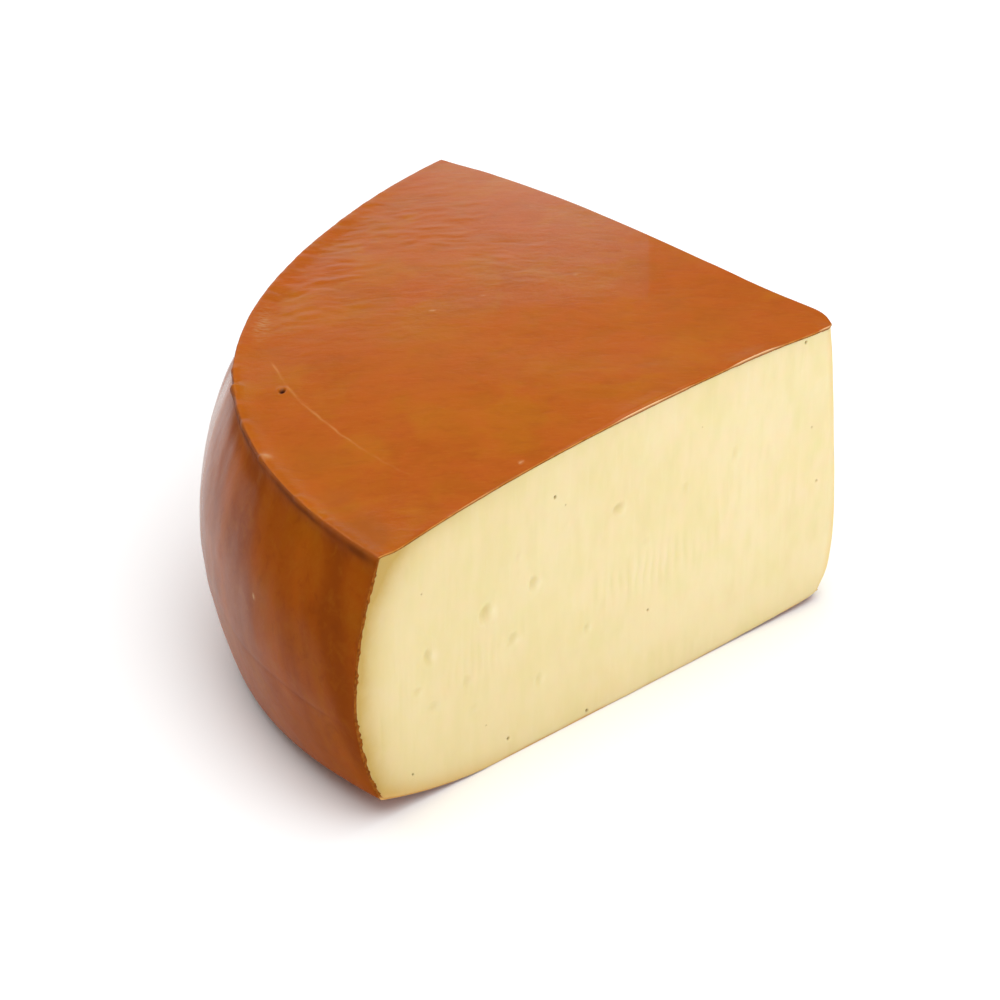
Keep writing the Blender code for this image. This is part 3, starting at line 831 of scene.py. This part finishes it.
# ------------------------------------------------------------ material helpers
class Nodes:
    def __init__(self, name):
        self.material = bpy.data.materials.new(name)
        self.material.use_nodes = True
        self.tree = self.material.node_tree
        self.shader = self.tree.nodes["Principled BSDF"]
        self.place = self.node("ShaderNodeTexCoord").outputs["Object"]

    def node(self, kind, **settings):
        made = self.tree.nodes.new(kind)
        for key, value in settings.items():
            setattr(made, key, value)
        return made

    def link(self, a, b):
        self.tree.links.new(a, b)

    def attribute(self, name):
        return self.node("ShaderNodeAttribute", attribute_name=name).outputs["Fac"]

    def mapped(self, scale, turn=0.0):
        m = self.node("ShaderNodeMapping")
        m.inputs["Scale"].default_value = scale
        m.inputs["Rotation"].default_value = (0.0, 0.0, turn)
        self.link(self.place, m.inputs["Vector"])
        return m.outputs["Vector"]

    def noise(self, scale, detail=3.0, rough=0.55, distortion=0.0, vector=None):
        t = self.node("ShaderNodeTexNoise")
        t.inputs["Scale"].default_value = scale
        t.inputs["Detail"].default_value = detail
        t.inputs["Roughness"].default_value = rough
        t.inputs["Distortion"].default_value = distortion
        self.link(vector or self.place, t.inputs["Vector"])
        return t.outputs["Fac"]

    def ramp(self, value, low, high, a=0.0, b=1.0):
        m = self.node("ShaderNodeMapRange", clamp=True)
        for key, number in (("From Min", low), ("From Max", high), ("To Min", a), ("To Max", b)):
            m.inputs[key].default_value = number
        self.link(value, m.inputs["Value"])
        return m.outputs["Result"]

    def maths(self, how, a, b):
        m = self.node("ShaderNodeMath", operation=how)
        for socket, value in ((m.inputs[0], a), (m.inputs[1], b)):
            if isinstance(value, (int, float)):
                socket.default_value = value
            else:
                self.link(value, socket)
        return m.outputs[0]

    def mix(self, factor, a, b, how="MIX"):
        m = self.node("ShaderNodeMix", data_type="RGBA", blend_type=how)
        for socket, value in ((m.inputs[0], factor), (m.inputs[6], a), (m.inputs[7], b)):
            if isinstance(value, (int, float)):
                socket.default_value = value
            elif isinstance(value, tuple):
                socket.default_value = (*value, 1.0)
            else:
                self.link(value, socket)
        return m.outputs[2]

    def bump(self, height, distance, strength=1.0, below=None):
        n = self.node("ShaderNodeBump")
        n.inputs["Distance"].default_value = distance
        n.inputs["Strength"].default_value = strength
        self.link(height, n.inputs["Height"])
        if below is not None:
            self.link(below, n.inputs["Normal"])
        return n.outputs["Normal"]


def coat_material():
    k = Nodes("coat_skin")
    broad = k.noise(26.0, 4.0, 0.6, 0.4)
    cloud = k.noise(95.0, 4.0, 0.6, 0.3)
    streaks = k.noise(1.0, 5.0, 0.65, 0.6, k.mapped((150.0, 430.0, 260.0), 0.06))
    fine = k.noise(1.0, 4.0, 0.6, 0.2, k.mapped((420.0, 1300.0, 800.0), 0.05))
    grain = k.noise(1500.0, 2.0, 0.5)
    colour = k.mix(k.ramp(broad, 0.36, 0.64), (0.350, 0.072, 0.0012), (0.378, 0.087, 0.0022))
    warm = k.noise(52.0, 3.0, 0.6, 0.6)
    colour = k.mix(k.maths("MULTIPLY", k.ramp(warm, 0.50, 0.64), 0.75), colour, (0.372, 0.106, 0.0006))
    colour = k.mix(k.maths("MULTIPLY", k.ramp(warm, 0.48, 0.34), 0.45), colour, (0.385, 0.072, 0.0035))
    colour = k.mix(k.maths("MULTIPLY", k.ramp(cloud, 0.42, 0.72), 0.45), colour, (0.415, 0.077, 0.0030))
    colour = k.mix(k.maths("MULTIPLY", k.ramp(cloud, 0.50, 0.28), 0.45), colour, (0.315, 0.078, 0.0008))
    colour = k.mix(k.maths("MULTIPLY", k.ramp(streaks, 0.40, 0.75), 0.26), colour, (0.415, 0.116, 0.008))
    colour = k.mix(k.maths("MULTIPLY", k.ramp(streaks, 0.5, 0.25), 0.28), colour, (0.28, 0.054, 0.001))
    colour = k.mix(k.maths("MULTIPLY", k.ramp(fine, 0.54, 0.74), 0.28), colour, (0.44, 0.130, 0.012))
    # painted shade on the side, with the coating's own blotches
    tone = k.maths("MULTIPLY", k.attribute("side"), k.ramp(k.attribute("side_shade_blotches"), 0.05, 0.95, 0.30, 1.0))
    colour = k.mix(tone, colour, (0.238, 0.046, 0.0010))
    blotch = k.noise(210.0, 4.0, 0.65, 0.5)
    colour = k.mix(k.maths("MULTIPLY", k.attribute("side"), k.ramp(blotch, 0.52, 0.70, 0.0, 0.35)), colour, (0.330, 0.095, 0.005))
    colour = k.mix(k.maths("MULTIPLY", k.attribute("side"), k.ramp(blotch, 0.46, 0.30, 0.0, 0.35)), colour, (0.190, 0.034, 0.001))
    colour = k.mix(k.maths("MULTIPLY", k.attribute("front_rim_tint"), 0.55), colour, (0.285, 0.078, 0.010))
    colour = k.mix(k.maths("MULTIPLY", k.attribute("seam"), 0.35), colour, (0.20, 0.038, 0.001))
    # painted shade: the dark band below the lip
    colour = k.mix(k.maths("MULTIPLY", k.attribute("neck"), 0.85), colour, (0.135, 0.026, 0.0008))
    # painted highlight along the lip
    colour = k.mix(k.maths("MULTIPLY", k.attribute("lip"), 0.16), colour, (0.46, 0.16, 0.05))
    colour = k.mix(k.maths("MULTIPLY", k.attribute("crease"), 0.70), colour, (0.58, 0.26, 0.07))
    colour = k.mix(k.maths("MULTIPLY", k.attribute("speck"), 0.75), colour, (0.70, 0.45, 0.22))
    scuff = k.maths("MULTIPLY", k.attribute("scuff"), k.ramp(fine, 0.40, 0.62))
    colour = k.mix(k.maths("MULTIPLY", scuff, 0.45), colour, (0.42, 0.25, 0.11))
    colour = k.mix(k.attribute("hole"), colour, (0.03, 0.006, 0.003))
    k.link(colour, k.shader.inputs["Base Color"])
    k.link(k.ramp(streaks, 0.3, 0.7, 0.50, 0.66), k.shader.inputs["Roughness"])
    k.shader.inputs["IOR"].default_value = 1.40
    k.shader.inputs["Specular IOR Level"].default_value = 0.02
    k.link(k.attribute("gloss"), k.shader.inputs["Coat Weight"])
    k.link(k.ramp(cloud, 0.3, 0.7, 0.17, 0.25), k.shader.inputs["Coat Roughness"])
    k.shader.inputs["Coat IOR"].default_value = 1.45
    k.shader.inputs["Subsurface Weight"].default_value = 0.06
    k.shader.inputs["Subsurface Radius"].default_value = (1.0, 0.35, 0.1)
    k.shader.inputs["Subsurface Scale"].default_value = 0.002
    normal = k.bump(cloud, 0.00022, 0.5)
    normal = k.bump(streaks, 0.00013, 0.5, normal)
    normal = k.bump(fine, 0.00006, 0.5, normal)
    normal = k.bump(grain, 0.00004, 0.35, normal)
    k.link(normal, k.shader.inputs["Normal"])
    k.link(normal, k.shader.inputs["Coat Normal"])
    return k.material


def edge_material():
    k = Nodes("coat_cut_edge")
    grain = k.noise(900.0, 4.0, 0.6)
    patches = k.noise(160.0, 3.0, 0.55)
    colour = k.mix(k.ramp(patches, 0.42, 0.62), (0.44, 0.150, 0.016), (0.56, 0.230, 0.045))
    colour = k.mix(k.maths("MULTIPLY", k.ramp(grain, 0.45, 0.65), 0.3), colour, (0.66, 0.34, 0.10))
    # partly smeared cheese, partly painted highlight on the lifted stretches
    colour = k.mix(k.attribute("lifted"), colour, (0.82, 0.50, 0.26))
    dark = k.mix(k.ramp(grain, 0.40, 0.60), (0.190, 0.046, 0.002), (0.330, 0.100, 0.009))
    colour = k.mix(k.attribute("side"), colour, dark)
    colour = k.mix(k.attribute("foot"), colour, (0.66, 0.38, 0.12))
    k.link(colour, k.shader.inputs["Base Color"])
    k.link(k.ramp(grain, 0.3, 0.7, 0.55, 0.75), k.shader.inputs["Roughness"])
    k.shader.inputs["Specular IOR Level"].default_value = 0.05
    k.link(k.bump(grain, 0.00015, 0.7), k.shader.inputs["Normal"])
    return k.material


def cheese_material():
    k = Nodes("cheese_paste")
    broad = k.noise(30.0, 3.0, 0.5, 0.3)
    mottled = k.noise(120.0, 4.0, 0.6, 0.2)
    warm = k.noise(75.0, 3.0, 0.55, 0.5)
    grain = k.noise(1100.0, 3.0, 0.6)
    drag = k.noise(1.0, 4.0, 0.6, 0.1, k.mapped((900.0, 900.0, 70.0)))
    colour = k.mix(k.ramp(broad, 0.38, 0.62), (0.865, 0.728, 0.385), (0.890, 0.762, 0.445))
    colour = k.mix(k.maths("MULTIPLY", k.ramp(mottled, 0.45, 0.7), 0.55), colour, (0.905, 0.715, 0.440))
    colour = k.mix(k.maths("MULTIPLY", k.ramp(warm, 0.50, 0.75), 0.55), colour, (0.830, 0.735, 0.360))
    colour = k.mix(k.maths("MULTIPLY", k.ramp(drag, 0.55, 0.75), 0.25), colour, (0.93, 0.82, 0.55))
    colour = k.mix(k.maths("MULTIPLY", k.ramp(grain, 0.6, 0.8), 0.15), colour, (0.93, 0.82, 0.55))
    # painted shade in the dips and painted highlight on the ridges of the cut
    colour = k.mix(k.ramp(k.attribute("relief_shading"), 0.5, 0.0, 0.0, 0.55), colour, (0.790, 0.690, 0.325))
    colour = k.mix(k.ramp(k.attribute("relief_shading"), 0.5, 1.0, 0.0, 0.58), colour, (0.935, 0.775, 0.500))
    # painted shade: darker away from the point and towards the bottom
    colour = k.mix(k.maths("MULTIPLY", k.attribute("shade_gradient"), 0.55), colour, (0.72, 0.585, 0.285))
    colour = k.mix(k.maths("MULTIPLY", k.attribute("rind"), k.ramp(mottled, 0.3, 0.7, 0.95, 0.70)), colour, (0.55, 0.365, 0.098))
    # painted highlight beside each eye
    colour = k.mix(k.maths("MULTIPLY", k.attribute("pale"), 0.45), colour, (0.955, 0.850, 0.620))
    # painted shade inside the eyes
    colour = k.mix(k.maths("MULTIPLY", k.attribute("eye"), 0.30), colour, (0.66, 0.54, 0.20))
    colour = k.mix(k.maths("MULTIPLY", k.attribute("tan"), 0.55), colour, (0.76, 0.45, 0.15))
    colour = k.mix(k.maths("MULTIPLY", k.attribute("point"), 0.72), colour, (0.84, 0.58, 0.18))
    colour = k.mix(k.maths("MULTIPLY", k.attribute("edge"), 0.30), colour, (0.74, 0.50, 0.18))
    colour = k.mix(k.maths("MULTIPLY", k.attribute("pin"), 0.85), colour, (0.20, 0.12, 0.04))
    k.link(colour, k.shader.inputs["Base Color"])
    k.link(k.ramp(mottled, 0.3, 0.7, 0.42, 0.58), k.shader.inputs["Roughness"])
    k.shader.inputs["IOR"].default_value = 1.45
    k.shader.inputs["Specular IOR Level"].default_value = 0.25
    k.shader.inputs["Subsurface Weight"].default_value = 0.35
    k.shader.inputs["Subsurface Radius"].default_value = (1.0, 0.65, 0.28)
    k.shader.inputs["Subsurface Scale"].default_value = 0.0028
    normal = k.bump(drag, 0.00014, 0.5)
    normal = k.bump(mottled, 0.00030, 0.5, normal)
    normal = k.bump(grain, 0.00004, 0.4, normal)
    k.link(normal, k.shader.inputs["Normal"])
    return k.material


def floor_material():
    k = Nodes("pale_floor")
    cloud = k.noise(3.0, 2.0, 0.5)
    k.link(k.mix(k.ramp(cloud, 0.3, 0.7), (0.935, 0.935, 0.935), (0.955, 0.955, 0.955)), k.shader.inputs["Base Color"])
    k.shader.inputs["Roughness"].default_value = 0.9
    k.shader.inputs["Specular IOR Level"].default_value = 0.1
    return k.material


# ------------------------------------------------------------ build
coat = make_coat()
sculpt_coat(coat)
smooth(coat, 50)
coat.data.materials.append(coat_material())
coat.data.materials.append(edge_material())

cheese = make_cheese()
sculpt_cheese(cheese)
smooth(cheese, 50)
cheese.data.materials.append(cheese_material())

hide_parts("rind_coat")
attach(coat, "root")
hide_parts("cheese_body")
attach(cheese, "root")

# ------------------------------------------------------------ floor, light, camera
mesh = bpy.data.meshes.new("floor")
bm = bmesh.new()
bmesh.ops.create_grid(bm, x_segments=8, y_segments=8, size=4.0)
bm.to_mesh(mesh)
bm.free()
floor = bpy.data.objects.new("floor", mesh)
floor.location = (0, 0, -0.0001)
bpy.context.scene.collection.objects.link(floor)
mesh.materials.append(floor_material())


def area_light(name, at, towards, size, power, colour=(1, 1, 1), height=None):
    data = bpy.data.lights.new(name, "AREA")
    data.energy = power
    data.color = colour
    data.size = size
    if height:
        data.shape = "RECTANGLE"
        data.size_y = height
    lamp = bpy.data.objects.new(name, data)
    lamp.location = at
    lamp.rotation_euler = (Vector(towards) - Vector(at)).to_track_quat("-Z", "Y").to_euler()
    bpy.context.scene.collection.objects.link(lamp)
    return lamp


area_light("key_softbox", (0.85, -0.85, 0.95), (0.0, 0.0, 0.04), 1.3, 6.9, (1.0, 0.99, 0.97))
area_light("overhead_softbox", (0.0, 0.0, 1.7), (0.0, 0.0, 0.0), 2.4, 40.0)
area_light("back_panel", (-0.60, 1.2, 0.33), (-0.60, 0.0, 0.33), 1.25, 2.3, height=0.66)

world = bpy.data.worlds.new("studio")
world.use_nodes = True
world.node_tree.nodes["Background"].inputs["Color"].default_value = (1.0, 1.0, 1.0, 1.0)
world.node_tree.nodes["Background"].inputs["Strength"].default_value = 0.30
bpy.context.scene.world = world

scene = bpy.context.scene
scene.view_settings.view_transform = "Standard"
scene.view_settings.look = "None"

data = bpy.data.cameras.new("camera")
data.sensor_width = 36.0
data.lens = 3500.0 / 1000.0 * 36.0
data.clip_start, data.clip_end = 0.05, 20.0
camera = bpy.data.objects.new("camera", data)
right, up, back = (
    Vector((0.998588, 0.053120, 0.0)),
    Vector((-0.027755, 0.521761, 0.852640)),
    Vector((0.045292, -0.851436, 0.522499)),
)
camera.matrix_world = Matrix.Translation((0.035856, -0.785556, 0.509985)) @ Matrix((right, up, back)).transposed().to_4x4()
bpy.context.scene.collection.objects.link(camera)
scene.camera = camera
